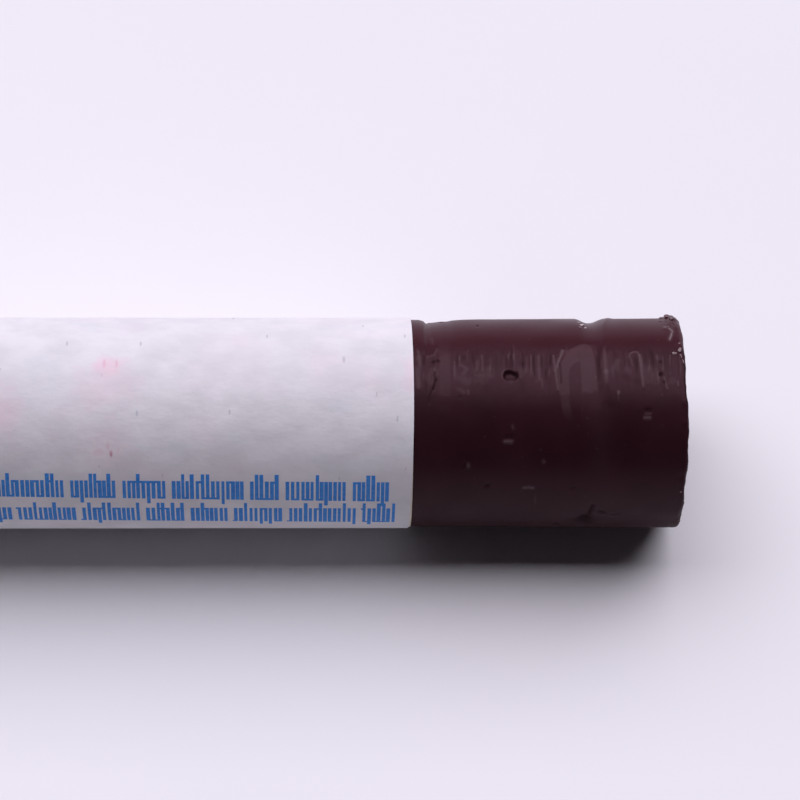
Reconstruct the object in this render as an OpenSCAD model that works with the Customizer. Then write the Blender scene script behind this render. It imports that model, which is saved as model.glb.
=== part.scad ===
// Furniture repair wax stick, in millimetres: a cast bar of filler wax in a wrapped paper label.
// It lies along X on the plane Z = 0, with its rubbing tip towards +X and its base towards -X.
// The origin is on that plane, under the middle of the bar.
// An angle round the bar is counted from +Y towards +Z.

/* [Wax bar] */
// Length of the bar from its base face to its tip face
bar_l = 60; // [45:1:90]
// Diameter of the bar where the label grips it
bar_d = 12; // [9:0.5:18]
// What the casting's draft adds to the diameter, from the label's edge to the tip
tip_draft = 0.1; // [0:0.02:0.3]
// Radius of the moulded edge round the base face
base_edge_r = 0.5; // [0.2:0.05:0.8]
// Radius of the trimmed edge round the tip face
tip_edge_r = 0.3; // [0.1:0.05:0.6]
// Width of the flat rim round the dish that the cooling wax drew into the tip face
dish_rim = 1.5; // [0.5:0.1:2.5]
// Depth of that dish at its middle
dish_depth = 0.35; // [0.1:0.05:0.8]

/* [Paper label] */
// Bare wax from the label's edge to the tip face
bare_tip = 15.6; // [10:0.2:25]
// Bare wax from the label's other edge to the base face
bare_base = 1; // [0.9:0.1:5]
// Thickness of the paper
paper_t = 0.08; // [0.06:0.01:0.2]
// Thickness of the adhesive film on the paper's back
film_t = 0.03; // [0.02:0.01:0.06]
// Width of the strip where the label overlaps its own first edge
lap_w = 4; // [2:0.5:5]
// Angle round the bar of the middle of that strip, low on the back
lap_angle = -45; // [-45:5:-20]

/* [Ring groove near the tip] */
// Distance from the groove's middle to the tip face
groove_from_tip = 5.3; // [3.5:0.1:7]
// Width of the groove where it is deepest
groove_w = 1.2; // [0.6:0.1:2]
// Greatest depth of the groove
groove_depth = 0.28; // [0.1:0.02:0.5]
// Angle round the bar at which the groove is deepest
groove_angle = 30; // [0:5:90]
// Angle to either side over which the groove fades out
groove_reach = 130; // [60:5:170]

/* [Crease beside the label] */
// Distance from the crease's middle to the label's edge
crease_from_label = 0.95; // [0.6:0.05:2]
// Width of the crease where it is deepest
crease_w = 0.5; // [0.3:0.05:0.9]
// Greatest depth of the crease
crease_depth = 0.2; // [0.05:0.01:0.3]
// Angle round the bar at which the crease is deepest
crease_angle = 40; // [0:5:90]
// Angle to either side over which the crease fades out
crease_reach = 100; // [40:5:170]

/* [Arched dent beside the groove] */
// Distance from the groove's middle to the dent's middle, away from the tip
dent_from_groove = 0.9; // [0.6:0.1:2]
// Width of the dent along the bar
dent_w = 2.1; // [1:0.1:3]
// Greatest depth of the dent
dent_depth = 0.2; // [0.05:0.01:0.4]
// Angle round the bar of the dent's middle
dent_angle = 99; // [70:1:130]
// Angle to either side over which the dent fades out
dent_reach = 28; // [15:1:45]

/* [Nick under the groove] */
// Distance from the groove's middle to the nick's middle, away from the tip
nick_from_groove = 0.2; // [0:0.1:1]
// Width of the nick along the bar
nick_w = 0.9; // [0.4:0.1:1.5]
// Greatest depth of the nick
nick_depth = 0.18; // [0.05:0.01:0.3]
// Angle round the bar of the nick's middle
nick_angle = 195; // [170:5:220]
// Angle to either side over which the nick fades out
nick_reach = 18; // [10:1:30]

/* [Burr on the tip's rim] */
// Distance from the burr's crest to the tip face
burr_from_tip = 0.62; // [0.6:0.05:1.5]
// Width of the burr along the bar
burr_w = 0.7; // [0.4:0.05:0.8]
// How far the burr's crest stands out of the bar's side
burr_rise = 0.14; // [0.08:0.01:0.3]
// Angle round the bar of the burr's middle
burr_angle = 38; // [10:2:60]
// Angle to either side over which the burr fades out
burr_reach = 34; // [20:2:60]

/* [Air pits] */
// Diameter of the largest air pit in the bare wax
pit_d = 0.75; // [0.3:0.05:1.2]
// Depth of the largest air pit
pit_depth = 0.2; // [0.05:0.01:0.35]

/* [Hidden] */
$fn = 96;

bar_r = bar_d / 2;
tip_r = bar_r + tip_draft / 2;
tip_x = bar_l / 2;
base_x = -tip_x;
label_x = tip_x - bare_tip;
label_l = bar_l - bare_tip - bare_base;

// The label's film and paper are one wrap, one layer of which is wrap_t thick.
wrap_t = film_t + paper_t;
axis_z = bar_r + wrap_t;
lap_sweep = lap_w / (bar_r + wrap_t) * 180 / PI;
lap_start = lap_angle - lap_sweep / 2;

// The overrun lets a cutter pass through the face that it cuts.
overrun = 0.5;

// The pits, as [share of the bare tip's length from the tip face, angle, share of the largest pit].
pit_shares = [
    [0.650, 93, 1],
    [0.930, 82, 0.4],
    [0.133, 72, 0.3],
    [0.120, 96, 0.35],
    [0.180, 134, 0.3],
    [0.780, 158, 0.35],
    [0.340, 152, 0.25],
    [0.480, 262, 0.55],
    [0.300, 318, 0.45],
    [0.820, 5, 0.5],
    [0.620, -32, 0.35],
];

// Stands its children on the bar's axis, with their own Z along the bar from x and their own X towards +Y.
module along_bar(x) {
    translate([x, 0, axis_z]) rotate([90, 0, 90]) children();
}

// A point at radius r and angle a in the bar's cross-section.
function at(r, a) = [r * cos(a), r * sin(a)];

// Radius of the round that is w wide where it bites depth deep.
function bite_r(w, depth) = (w * w / 4 + depth * depth) / (2 * depth);

// What is left of a square corner of radius r outside its round, for the corner at [0, 0].
module corner_waste(r) {
    difference() {
        translate([-r, -r]) square(r + overrun);
        translate([-r, -r]) circle(r);
    }
}

// Half of the bar's lengthwise section, from the axis outwards, with the base face at Y = 0.
module bar_section() {
    difference() {
        polygon([
            [0, 0],
            [bar_r, 0],
            [bar_r, bar_l - bare_tip],
            [tip_r, bar_l],
            [0, bar_l],
        ]);
        translate([bar_r, 0]) mirror([0, 1]) corner_waste(base_edge_r);
        translate([tip_r, bar_l]) corner_waste(tip_edge_r);
    }
}

// The dish in the tip face is a shallow bite of a large sphere.
module tip_dish() {
    dish_r = bite_r((tip_r - dish_rim) * 2, dish_depth);
    translate([0, 0, dish_r - dish_depth]) sphere(dish_r);
}

// A ring of radius ring_r whose section is the child, and whose centre is off_axis from the bar's
// axis towards an angle.
module off_axis_ring(from_tip, ring_r, off_axis, angle) {
    along_bar(tip_x - from_tip)
        translate(at(off_axis, angle))
            rotate_extrude() translate([ring_r, 0]) children();
}

// How far a ring's near side is from the bar's side on average, if it is peak at one angle
// and fades to nothing at reach to either side of it.
function ring_mean(peak, reach) = -peak * cos(reach) / (1 - cos(reach));

// A mark that fades out to both sides of one angle: the bite of a ring that sits off the bar's axis.
module ring_mark(from_tip, w, depth, angle, reach) {
    rod_r = bite_r(w, depth);
    mean_depth = ring_mean(depth, reach);
    off_axis_ring(from_tip, bar_r - mean_depth + rod_r, mean_depth - depth, angle) circle(rod_r);
}

// The smeared burr on the rim: a ring buried in the bar that stands out of its side near one angle.
module rim_burr() {
    rod_r = bite_r(burr_w, burr_rise);
    mean_rise = ring_mean(burr_rise, burr_reach);
    off_axis_ring(burr_from_tip, tip_r + mean_rise - rod_r, burr_rise - mean_rise, burr_angle)
        intersection() {
            circle(rod_r);
            square([rod_r * 2, burr_w], center = true);
        }
}

module air_pit(from_tip, angle, share) {
    ball_r = bite_r(pit_d, pit_depth) * share;
    along_bar(tip_x - from_tip)
        translate(at(bar_r + ball_r - pit_depth * share, angle)) sphere(ball_r);
}

module wax_stick() {
    color("#3a2024") difference() {
        union() {
            along_bar(base_x) rotate_extrude() bar_section();
            rim_burr();
        }
        along_bar(tip_x) tip_dish();
        ring_mark(groove_from_tip, groove_w, groove_depth, groove_angle, groove_reach);
        ring_mark(bare_tip - crease_from_label, crease_w, crease_depth, crease_angle, crease_reach);
        ring_mark(groove_from_tip + dent_from_groove, dent_w, dent_depth, dent_angle, dent_reach);
        ring_mark(groove_from_tip + nick_from_groove, nick_w, nick_depth, nick_angle, nick_reach);
        for (pit = pit_shares) air_pit(pit[0] * bare_tip, pit[1], pit[2]);
    }
}

// A sector from angle 0 to sweep, wide enough to hold any layer of the label.
module lap_sector(sweep) {
    far = 2 * bar_d;
    polygon([at(0, 0), at(far, 0), at(far, sweep / 2), at(far, sweep)]);
}

// Everything inside the wrapped sheet at height h above the sheet's back. The sheet lies on the bar,
// runs straight from there up to its own first edge, and lies on its first turn over the lap.
module wrap_disc(h) {
    low_r = bar_r + h;
    high_r = low_r + wrap_t;
    circle(low_r);
    intersection() {
        circle(high_r);
        lap_sector(lap_sweep);
    }
    polygon([at(0, 0), at(low_r, -acos(low_r / high_r)), at(high_r, 0)]);
}

// The cross-section of one layer of the wrapped sheet, from height low to height high above its back.
module wrap_layer(low, high) {
    rotate([0, 0, lap_start]) {
        difference() {
            wrap_disc(high);
            wrap_disc(low);
        }
        // The start of the first turn, which lies under the lap.
        intersection() {
            difference() {
                circle(bar_r + high);
                circle(bar_r + low);
            }
            lap_sector(lap_sweep * 2);
        }
    }
}

module wrapped_sheet(low, high) {
    along_bar(label_x - label_l) linear_extrude(label_l) wrap_layer(low, high);
}

module paper_label() {
    color("#f4f2f7") wrapped_sheet(film_t, wrap_t);
}

module label_adhesive() {
    color("#d9d3b8") wrapped_sheet(0, film_t);
}

wax_stick();
paper_label();
label_adhesive();
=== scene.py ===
import math

import bpy
import numpy as np
from mathutils import Matrix, Vector


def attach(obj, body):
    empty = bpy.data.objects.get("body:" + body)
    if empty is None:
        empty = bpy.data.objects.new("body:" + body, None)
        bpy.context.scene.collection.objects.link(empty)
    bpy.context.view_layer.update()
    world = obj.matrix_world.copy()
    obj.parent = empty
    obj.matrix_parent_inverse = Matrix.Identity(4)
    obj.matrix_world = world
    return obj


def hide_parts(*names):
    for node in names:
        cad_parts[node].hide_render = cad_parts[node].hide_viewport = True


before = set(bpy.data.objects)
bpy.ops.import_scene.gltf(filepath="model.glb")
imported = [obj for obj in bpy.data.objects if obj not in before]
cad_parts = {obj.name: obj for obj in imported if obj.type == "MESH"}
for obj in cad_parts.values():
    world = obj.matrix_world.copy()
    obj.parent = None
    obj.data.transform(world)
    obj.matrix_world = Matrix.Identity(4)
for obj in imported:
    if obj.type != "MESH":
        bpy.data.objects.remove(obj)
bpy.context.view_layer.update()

mm = 0.001  # all the sizes below are in millimetres, and are made metres where a mesh is built
root = "root"


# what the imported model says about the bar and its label

def nodePoints(name):
    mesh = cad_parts[name].data
    flat = np.zeros(len(mesh.vertices) * 3)
    mesh.vertices.foreach_get("co", flat)
    return flat.reshape(-1, 3) / mm


waxPoints = nodePoints("wax_stick")
paperPoints = nodePoints("paper_label")
filmPoints = nodePoints("label_adhesive")
axisZ = float(paperPoints[:, 2].min() + paperPoints[:, 2].max()) / 2


def fromAxis(points):
    return np.hypot(points[:, 1], points[:, 2] - axisZ)


bar = {
    "tipX": waxPoints[:, 0].max(), "baseX": waxPoints[:, 0].min(),
    "radius": fromAxis(filmPoints).min(),
    "labelTipX": paperPoints[:, 0].max(), "labelBaseX": paperPoints[:, 0].min(),
    "paperIn": fromAxis(paperPoints).min(),
    "paperOut": paperPoints[:, 2].max() - axisZ,
}
bar = {name: float(size) for name, size in bar.items()}
bar["bareTip"] = bar["tipX"] - bar["labelTipX"]
bar["bareBase"] = bar["labelBaseX"] - bar["baseX"]
arcPerDegree = math.radians(1) * bar["radius"]
print("frame: axis at", round(axisZ, 3), {name: round(size, 3) for name, size in bar.items()})


# small helpers

def smooth(start, end, value):
    t = np.clip((value - start) / (end - start), 0, 1)
    return t * t * (3 - 2 * t)


def fall(start, end, value):
    return 1 - smooth(start, end, value)


def past(line, pair, value):  # a pair counted from a line
    return smooth(line + pair[0], line + pair[1], value)


def within(value, start, full, less, end):
    return smooth(start, full, value) * fall(less, end, value)


def bell(value, middle, half):
    return np.exp(-((value - middle) / half) ** 2)


def turnFrom(angle, middle):  # degrees from middle, -180 to 180
    return (angle - middle + 180) % 360 - 180


def ringNoise(along, angle, cell, cellsRound, seed):  # smooth noise, -1 to 1, that closes round the bar
    table = np.random.default_rng(seed).uniform(-1, 1, (256, cellsRound))
    u = along / cell + 40
    v = (angle % 360) / 360 * cellsRound
    iu, iv = np.floor(u).astype(int), np.floor(v).astype(int)
    fu, fv = u - iu, v - iv
    fu, fv = fu * fu * (3 - 2 * fu), fv * fv * (3 - 2 * fv)
    a = table[iu % 256, iv % cellsRound]
    b = table[(iu + 1) % 256, iv % cellsRound]
    c = table[iu % 256, (iv + 1) % cellsRound]
    d = table[(iu + 1) % 256, (iv + 1) % cellsRound]
    return (a * (1 - fu) + b * fu) * (1 - fv) + (c * (1 - fu) + d * fu) * fv


def ringFaces(columns, rings):  # a fan round point 0, then the bands between rings of points
    k = np.arange(columns)
    n = (k + 1) % columns
    faces = [(0, 1 + a, 1 + b) for a, b in zip(k, n)]
    for row in range(rings - 1):
        near, far = 1 + row * columns, 1 + (row + 1) * columns
        faces += zip(near + k, far + k, far + n, near + n)
    return [tuple(int(i) for i in face) for face in faces]


def addPiece(name, mesh, material):
    piece = bpy.data.objects.new(name, mesh)
    bpy.context.scene.collection.objects.link(piece)
    mesh.materials.clear()
    mesh.materials.append(material)
    return piece


def plainMesh(piece, name):  # what the modifiers make of a piece, as a mesh without them
    graph = bpy.context.evaluated_depsgraph_get()
    mesh = bpy.data.meshes.new_from_object(piece.evaluated_get(graph), depsgraph=graph)
    mesh.name = name
    bpy.data.objects.remove(piece)
    return mesh


def makerFor(name, mesh):  # a piece for a while, which carries the modifiers that make a mesh
    maker = bpy.data.objects.new(name + "Maker", mesh)
    bpy.context.scene.collection.objects.link(maker)
    return maker


def growFrom(name, mesh, makeTree, values):  # what a node tree with these values makes of a mesh
    maker = makerFor(name, mesh)
    tree = makeTree(values)
    modifier = maker.modifiers.new(name, "NODES")
    modifier.node_group = tree
    for socket in tree.interface.items_tree:
        if socket.item_type == "SOCKET" and socket.in_out == "INPUT" and socket.name in values:
            modifier[socket.identifier] = values[socket.name]
    return plainMesh(maker, name)


class NodeBench:  # short calls for adding and joining nodes in one tree
    def __init__(self, tree):
        self.tree = tree

    def put(self, socket, value):
        if isinstance(value, bpy.types.NodeSocket):
            self.tree.links.new(value, socket)
        else:
            socket.default_value = value

    def add(self, kind, inputs=None, **settings):
        node = self.tree.nodes.new(kind)
        for key, value in settings.items():
            setattr(node, key, value)
        for key, value in (inputs or {}).items():
            self.put(node.inputs[key], value)
        return node

    def math(self, operation, a, b=0.0, clamp=False):
        return self.add("ShaderNodeMath", {0: a, 1: b}, operation=operation, use_clamp=clamp).outputs[0]

    def plus(self, a, b):
        return self.math("ADD", a, b)

    def minus(self, a, b):
        return self.math("SUBTRACT", a, b)

    def times(self, a, b):
        return self.math("MULTIPLY", a, b)

    def vector(self, operation, a, b):
        return self.add("ShaderNodeVectorMath", {0: a, 1: b}, operation=operation).outputs[0]

    def parts(self, vector):  # the x, y and z of a vector
        return self.add("ShaderNodeSeparateXYZ", {0: vector}).outputs

    def joined(self, x, y, z=0.0):
        return self.add("ShaderNodeCombineXYZ", {0: x, 1: y, 2: z}).outputs[0]

    def blend(self, share, a, b):  # from color a to color b
        node = self.add("ShaderNodeMix", data_type="RGBA")
        for socket, value in ((0, share), (6, a), (7, b)):
            self.put(node.inputs[socket], value)
        return node.outputs[2]

    def between(self, share, a, b):  # from number a to number b
        node = self.add("ShaderNodeMix", data_type="FLOAT")
        for socket, value in ((0, share), (2, a), (3, b)):
            self.put(node.inputs[socket], value)
        return node.outputs[0]

    def noise(self, vector, scale, detail, more=None, **settings):
        inputs = {"Vector": vector, "Scale": scale, "Detail": detail, **(more or {})}
        return self.add("ShaderNodeTexNoise", inputs, **settings).outputs

    def span(self, value, low, high, toLow=0.0, toHigh=1.0):
        return self.add("ShaderNodeMapRange", {0: value, 1: low, 2: high, 3: toLow, 4: toHigh}).outputs[0]

    def field(self, name):  # a value that the mesh carries
        return self.add("ShaderNodeAttribute", attribute_name=name).outputs["Fac"]

    def masked(self, group, coords, look):
        node = self.add("ShaderNodeGroup", node_tree=group)
        self.put(node.inputs["Coords"], coords)
        for key, value in look.items():
            self.put(node.inputs[key], value)
        return node.outputs["Mask"]


def newMaterial(name, plain):  # with its plain values set; the shader's inputs and the coordinates come back
    material = bpy.data.materials.new(name)
    material.use_nodes = True
    bench = NodeBench(material.node_tree)
    shader = material.node_tree.nodes["Principled BSDF"].inputs
    for key, value in plain.items():
        shader[key].default_value = value
    return material, bench, shader, bench.add("ShaderNodeTexCoord").outputs["Object"]


socketTypes = {float: "Float", int: "Int", tuple: "Vector", bpy.types.Material: "Material"}


def newGroup(name, kind, inputs, output, outputType):  # an input is given by its value, or by its type's name
    tree = bpy.data.node_groups.new(name, kind)
    for label, value in inputs.items():
        valued = type(value) in socketTypes
        socketType = "NodeSocket" + (socketTypes[type(value)] if valued else value)
        socket = tree.interface.new_socket(label, in_out="INPUT", socket_type=socketType)
        if valued:
            socket.default_value = value
    tree.interface.new_socket(output, in_out="OUTPUT", socket_type="NodeSocket" + outputType)
    bench = NodeBench(tree)
    return tree, bench, bench.add("NodeGroupInput").outputs, bench.add("NodeGroupOutput").inputs[0]


# shader groups that more than one finish uses

def makeMottle():  # cloudy variation, stretched by its own scale in each direction
    tree, bench, given, out = newGroup("mottle", "ShaderNodeTree", {
        "Coords": "Vector", "Stretch": (1, 1, 1), "Scale": 1000.0, "Detail": 3.0, "Low": 0.35, "High": 0.65,
    }, "Mask", "Float")
    stretched = bench.vector("MULTIPLY", given["Coords"], given["Stretch"])
    noise = bench.noise(stretched, given["Scale"], given["Detail"])
    bench.put(out, bench.span(noise["Fac"], given["Low"], given["High"]))
    return tree


def makeSpecks():  # scattered small specks, about Amount of the cells holding one
    tree, bench, given, out = newGroup("specks", "ShaderNodeTree", {
        "Coords": "Vector", "Stretch": (1, 1, 1), "Scale": 1000.0, "Size": 0.2, "Amount": 0.1,
    }, "Mask", "Float")
    stretched = bench.vector("MULTIPLY", given["Coords"], given["Stretch"])
    cells = bench.add("ShaderNodeTexVoronoi", {"Vector": stretched, "Scale": given["Scale"]},
                      voronoi_dimensions="2D")
    chance = bench.add("ShaderNodeSeparateColor", {0: cells.outputs["Color"]}).outputs
    held = bench.math("LESS_THAN", chance[0], given["Amount"])
    size = bench.times(given["Size"], bench.span(chance[1], 0.0, 1.0, 0.5, 1.5))
    near = bench.span(bench.math("DIVIDE", cells.outputs["Distance"], size), 0.7, 1.1, 1.0, 0.0)
    bench.put(out, bench.times(held, near))
    return tree


def sideCoords(bench, coords):  # where a point is on the bar's side, as x and the distance round from the top
    x, y, z = bench.parts(coords)
    turn = bench.math("ARCTAN2", bench.times(y, -1.0), bench.minus(z, axisZ * mm))
    return bench.joined(x, bench.times(turn, bar["radius"] * mm))


mottle = makeMottle()
specks = makeSpecks()
print("shader groups made")


# finishes

def addBump(bench, shader, bump, height):
    strength, distance = bump
    node = bench.add("ShaderNodeBump", {"Strength": strength, "Distance": distance, "Height": height})
    bench.put(shader["Normal"], node.outputs[0])


waxTint = (0.9804, 0.5816, 0.6818, 1)

waxLook = {
    "plain": {"IOR": 1.45, "Specular IOR Level": 0.185, "Specular Tint": waxTint},
    "deep": (0.0201, 0.0055, 0.0084, 1),
    "warm": (0.0270, 0.0076, 0.0111, 1),
    "paintedTopSheen": (0.0431, 0.0092, 0.0145, 1),   # painted sheen: the bar's upper back side coloured redder where light grazes it
    # the pale colour of worn and dusty wax and of painted highlights
    "wearAndPaintedLight": (0.1471, 0.1020, 0.1091, 1),
    "wearAndLightShare": 0.75, "dustShare": 0.10,
    "chalk": (0.4510, 0.3878, 0.3818, 1),   # where the pale is strongest
    "chalkFrom": 0.6, "chalkShare": 0.55,
    # painted shade: the dark that sunk marks, the crater, the slot, the crease, the torn patch and the
    # underside are given
    "paintedShade": (0.0083, 0.0018, 0.0033, 1),
    "hollowRough": 0.80, "streakRough": 0.44, "grainShare": 0.15, "bump": (0.35, 0.00002),
    "cloudMask": {"Stretch": (1, 0.5, 0.5), "Scale": 420.0, "Detail": 4.0, "Low": 0.3, "High": 0.7},
    "streakMask": {"Stretch": (1.0, 0.10, 0.10), "Scale": 2600.0, "Detail": 3.0, "Low": 0.38, "High": 0.66},
    "grainMask": {"Scale": 9000.0, "Detail": 2.0, "Low": 0.2, "High": 0.8},
    "dustMask": {"Scale": 1900.0, "Size": 0.11, "Amount": 0.03},
}


def makeWax():
    look = waxLook
    material, bench, shader, coords = newMaterial("fillerWax", look["plain"])
    wearAndPaintedLight, scraped, dull, paintedTopSheen = [bench.field(name) for name in ("wearAndPaintedLight", "scraped", "dull", "paintedTopSheen")]
    masks = [bench.masked(mottle, coords, look[name]) for name in ("cloudMask", "streakMask", "grainMask")]
    cloud, streak, grain = masks
    dust = bench.masked(specks, sideCoords(bench, coords), look["dustMask"])
    base = bench.blend(cloud, look["deep"], look["warm"])
    # painted sheen: redder on the upper back side
    base = bench.blend(paintedTopSheen, base, look["paintedTopSheen"])
    # pale wear and painted highlights lighten the wax
    paleAndHighlight, dusty = bench.times(wearAndPaintedLight, look["wearAndLightShare"]), bench.times(dust, look["dustShare"])
    pale = bench.math("ADD", paleAndHighlight, dusty, clamp=True)
    base = bench.blend(pale, base, look["wearAndPaintedLight"])
    base = bench.blend(bench.span(wearAndPaintedLight, look["chalkFrom"], 1.0, 0.0, look["chalkShare"]), base, look["chalk"])
    # painted shade where the value falls below zero
    paintedShade = bench.span(wearAndPaintedLight, 0.0, -1.0)
    bench.put(shader["Base Color"], bench.blend(paintedShade, base, look["paintedShade"]))
    streak = bench.times(streak, scraped)
    rough = bench.between(streak, dull, look["streakRough"])
    bench.put(shader["Roughness"], bench.between(paintedShade, rough, look["hollowRough"]))
    addBump(bench, shader, look["bump"], bench.plus(streak, bench.times(grain, look["grainShare"])))
    return material


# the looks of finishes that waver between two colors
crumbLook = {
    "plain": {"Specular Tint": waxTint},
    "cloudMask": {"Scale": 4200.0, "Detail": 3.0, "Low": 0.3, "High": 0.7},
    "colors": ((0.0686, 0.0306, 0.0382, 1), (0.1961, 0.1276, 0.1364, 1)),
    "chalk": (0.7059, 0.6327, 0.6273, 1),
    "rough": (0.30, 0.55), "bump": (0.4, 0.00002),
}
filmLook = {
    "plain": {},
    "cloudMask": {"Scale": 1500.0, "Detail": 3.0},
    "colors": ((0.62, 0.55, 0.42, 1), (0.74, 0.68, 0.56, 1)),
    "rough": (0.3, 0.5), "bump": (0.3, 0.00001),
}
inkLook = {
    "plain": {"Specular IOR Level": 0.2},
    "cloudMask": {"Scale": 3800.0, "Detail": 3.0, "Low": 0.3, "High": 0.7},
    "colors": ((0.0304, 0.1990, 0.6000, 1), (0.0627, 0.2806, 0.7091, 1)),
    "rough": (0.55, 0.75),
}
tableLook = {
    "plain": {"Roughness": 0.9, "Specular IOR Level": 0.0},
    "cloudMask": {"Scale": 26.0, "Detail": 3.0},
    "colors": ((0.8333, 0.8286, 0.8364, 1), (0.8137, 0.8163, 0.8273, 1)),
}


def makeTwoTone(name, look):
    material, bench, shader, coords = newMaterial(name, look["plain"])
    cloud = bench.masked(mottle, coords, look["cloudMask"])
    base = bench.blend(cloud, *look["colors"])
    if "chalk" in look:
        base = bench.blend(bench.field("chalky"), base, look["chalk"])
    bench.put(shader["Base Color"], base)
    if "rough" in look:
        bench.put(shader["Roughness"], bench.span(cloud, 0.0, 1.0, *look["rough"]))
    if "bump" in look:
        addBump(bench, shader, look["bump"], cloud)
    return material


paperLook = {
    "plain": {"Specular IOR Level": 0.2},
    "face": (0.7500, 0.7367, 0.7527, 1),
    "shade": (0.6275, 0.6245, 0.6436, 1),
    "cool": (0.6471, 0.6939, 0.7182, 1),
    "fleck": (0.2941, 0.3061, 0.3636, 1),
    "fleckShare": 0.38,
    "pink": (0.8431, 0.5510, 0.6455, 1),
    "berry": (0.3922, 0.1122, 0.1909, 1),
    # cut: the pale cut edge, partly the paper's paler core and partly a painted highlight
    "cut": (0.9412, 0.8776, 0.8182, 1), "rough": (0.78, 0.92), "bump": (0.4, 0.00003),
    "cloudRelief": 2.0, "fibreRelief": 0.5,
    "fleckMask": {"Stretch": (1.0, 0.36, 1.0), "Scale": 520.0, "Size": 0.034, "Amount": 0.5},
    "raggedMask": {"Scale": 1500.0, "Detail": 4.0, "Low": 0.25, "High": 0.75},
    "raggedSpan": (0.55, 1.5), "markEdge": (0.35, 1.15),
}

# the clouds in the paper's color: what they bring, how strongly, and the mottle's values
paperClouds = {
    "cloud": ("shade", 0.74, {
        "Stretch": (0.8, 1.0, 1.0), "Scale": 640.0, "Detail": 5.0, "Low": 0.34, "High": 0.64}),
    "broad": ("shade", 0.30, {
        "Stretch": (0.7, 1.0, 1.0), "Scale": 110.0, "Detail": 2.0, "Low": 0.35, "High": 0.65}),
    "blotch": ("pink", 0.13, {"Scale": 230.0, "Detail": 3.0, "Low": 0.48, "High": 0.72}),
    "chill": ("cool", 0.30, {
        "Stretch": (0.6, 1.0, 1.0), "Scale": 340.0, "Detail": 4.0, "Low": 0.50, "High": 0.70}),
    "fibre": ("shade", 0.10, {
        "Stretch": (0.5, 1.0, 1.0), "Scale": 3000.0, "Detail": 4.0, "Low": 0.25, "High": 0.75}),
}

# pink marks on the paper: x, angle, size along, size round, strength, darkness
paperMarks = [
    (-2.82, 87.4, 0.95, 0.80, 0.40, 0.0),
    (-2.70, 99.0, 2.0, 1.8, 0.20, 0.0),
    (-2.70, 131.0, 1.7, 1.8, 0.16, 0.0),
    (-8.40, 114.0, 1.2, 1.5, 0.26, 0.0),
    (14.30, 93.0, 0.5, 1.5, 0.26, 0.0),
    (-3.00, 86.3, 0.11, 0.32, 0.50, 0.34),
    (-2.31, 86.3, 0.09, 0.32, 0.46, 0.34),
    (-2.57, 136.8, 0.12, 0.24, 0.80, 0.80),
    (-3.30, 135.6, 0.34, 0.22, 0.30, 0.25),
    (-2.73, 132.0, 0.11, 0.24, 0.34, 0.40),
    (-2.18, 134.6, 0.12, 0.14, 0.34, 0.25),
]


def makePaper():
    look = paperLook
    material, bench, shader, coords = newMaterial("labelPaper", look["plain"])
    masks = {}
    base = look["face"]
    for name, (color, share, mask) in paperClouds.items():
        masks[name] = bench.masked(mottle, coords, mask)
        base = bench.blend(bench.times(masks[name], share), base, look[color])
    fleck = bench.masked(specks, sideCoords(bench, coords), look["fleckMask"])
    base = bench.blend(bench.times(fleck, look["fleckShare"]), base, look["fleck"])
    ragged = bench.span(bench.masked(mottle, coords, look["raggedMask"]), 0.0, 1.0, *look["raggedSpan"])
    for x, angle, along, across, strength, dark in paperMarks:
        turn = math.radians(angle)
        middle = Vector((x, bar["paperOut"] * math.cos(turn), axisZ + bar["paperOut"] * math.sin(turn))) * mm
        offset = bench.vector("SUBTRACT", coords, middle)
        sized = bench.vector("MULTIPLY", offset, (1 / (along * mm), 1 / (across * mm), 1 / (across * mm)))
        far = bench.add("ShaderNodeVectorMath", {0: sized}, operation="LENGTH").outputs["Value"]
        mark = bench.span(bench.times(far, ragged), *look["markEdge"], strength, 0.0)
        color = [a + (b - a) * dark for a, b in zip(look["pink"], look["berry"])]
        base = bench.blend(mark, base, color)
    # the cut edge is painted paler, partly as a painted highlight
    bench.put(shader["Base Color"], bench.blend(bench.field("paleCutAndHighlight"), base, look["cut"]))
    bench.put(shader["Roughness"], bench.span(masks["fibre"], 0.0, 1.0, *look["rough"]))
    relief = bench.plus(bench.times(masks["cloud"], look["cloudRelief"]),
                        bench.times(masks["fibre"], look["fibreRelief"]))
    addBump(bench, shader, look["bump"], relief)
    return material


waxFinish = makeWax()
crumbFinish = makeTwoTone("waxCrumb", crumbLook)
paperFinish = makePaper()
filmFinish = makeTwoTone("labelFilm", filmLook)
inkFinish = makeTwoTone("blueInk", inkLook)
print("finishes made")


# camera

photoView = {
    "elevation": 60.0,   # degrees above the table
    "distance": 190.0,   # from the bar's axis
    "standX": 8.0,       # where the camera stands along the bar
    "aimX": 13.83,       # what it is turned towards
    "aimUp": 1.33,       # how far above the axis it aims, in the picture
    "pixelsPerMm": 17.23, "pictureWidth": 800, "sensor": 36, "nearest": 5.0,
}


def makeCamera():
    view = photoView
    lift = math.radians(view["elevation"])
    back = Vector((0, -math.cos(lift), math.sin(lift)))
    up = Vector((0, math.sin(lift), math.cos(lift)))
    stand = Vector((view["standX"], 0, axisZ)) + back * view["distance"]
    aim = Vector((view["aimX"], 0, axisZ)) + up * view["aimUp"]
    towards = (aim - stand).normalized()
    across = Vector((1, 0, 0))
    across = (across - towards * across.dot(towards)).normalized()
    data = bpy.data.cameras.new("photoCamera")
    data.sensor_width = view["sensor"]
    data.lens = view["sensor"] * view["distance"] * view["pixelsPerMm"] / view["pictureWidth"]
    data.clip_start = view["nearest"] * mm
    camera = bpy.data.objects.new("photoCamera", data)
    turn = Matrix((across, across.cross(towards), -towards)).transposed().to_4x4()
    camera.matrix_world = Matrix.Translation(stand * mm) @ turn
    bpy.context.scene.collection.objects.link(camera)
    bpy.context.scene.camera = camera


makeCamera()
print("camera placed")


# table, lamp and room

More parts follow.
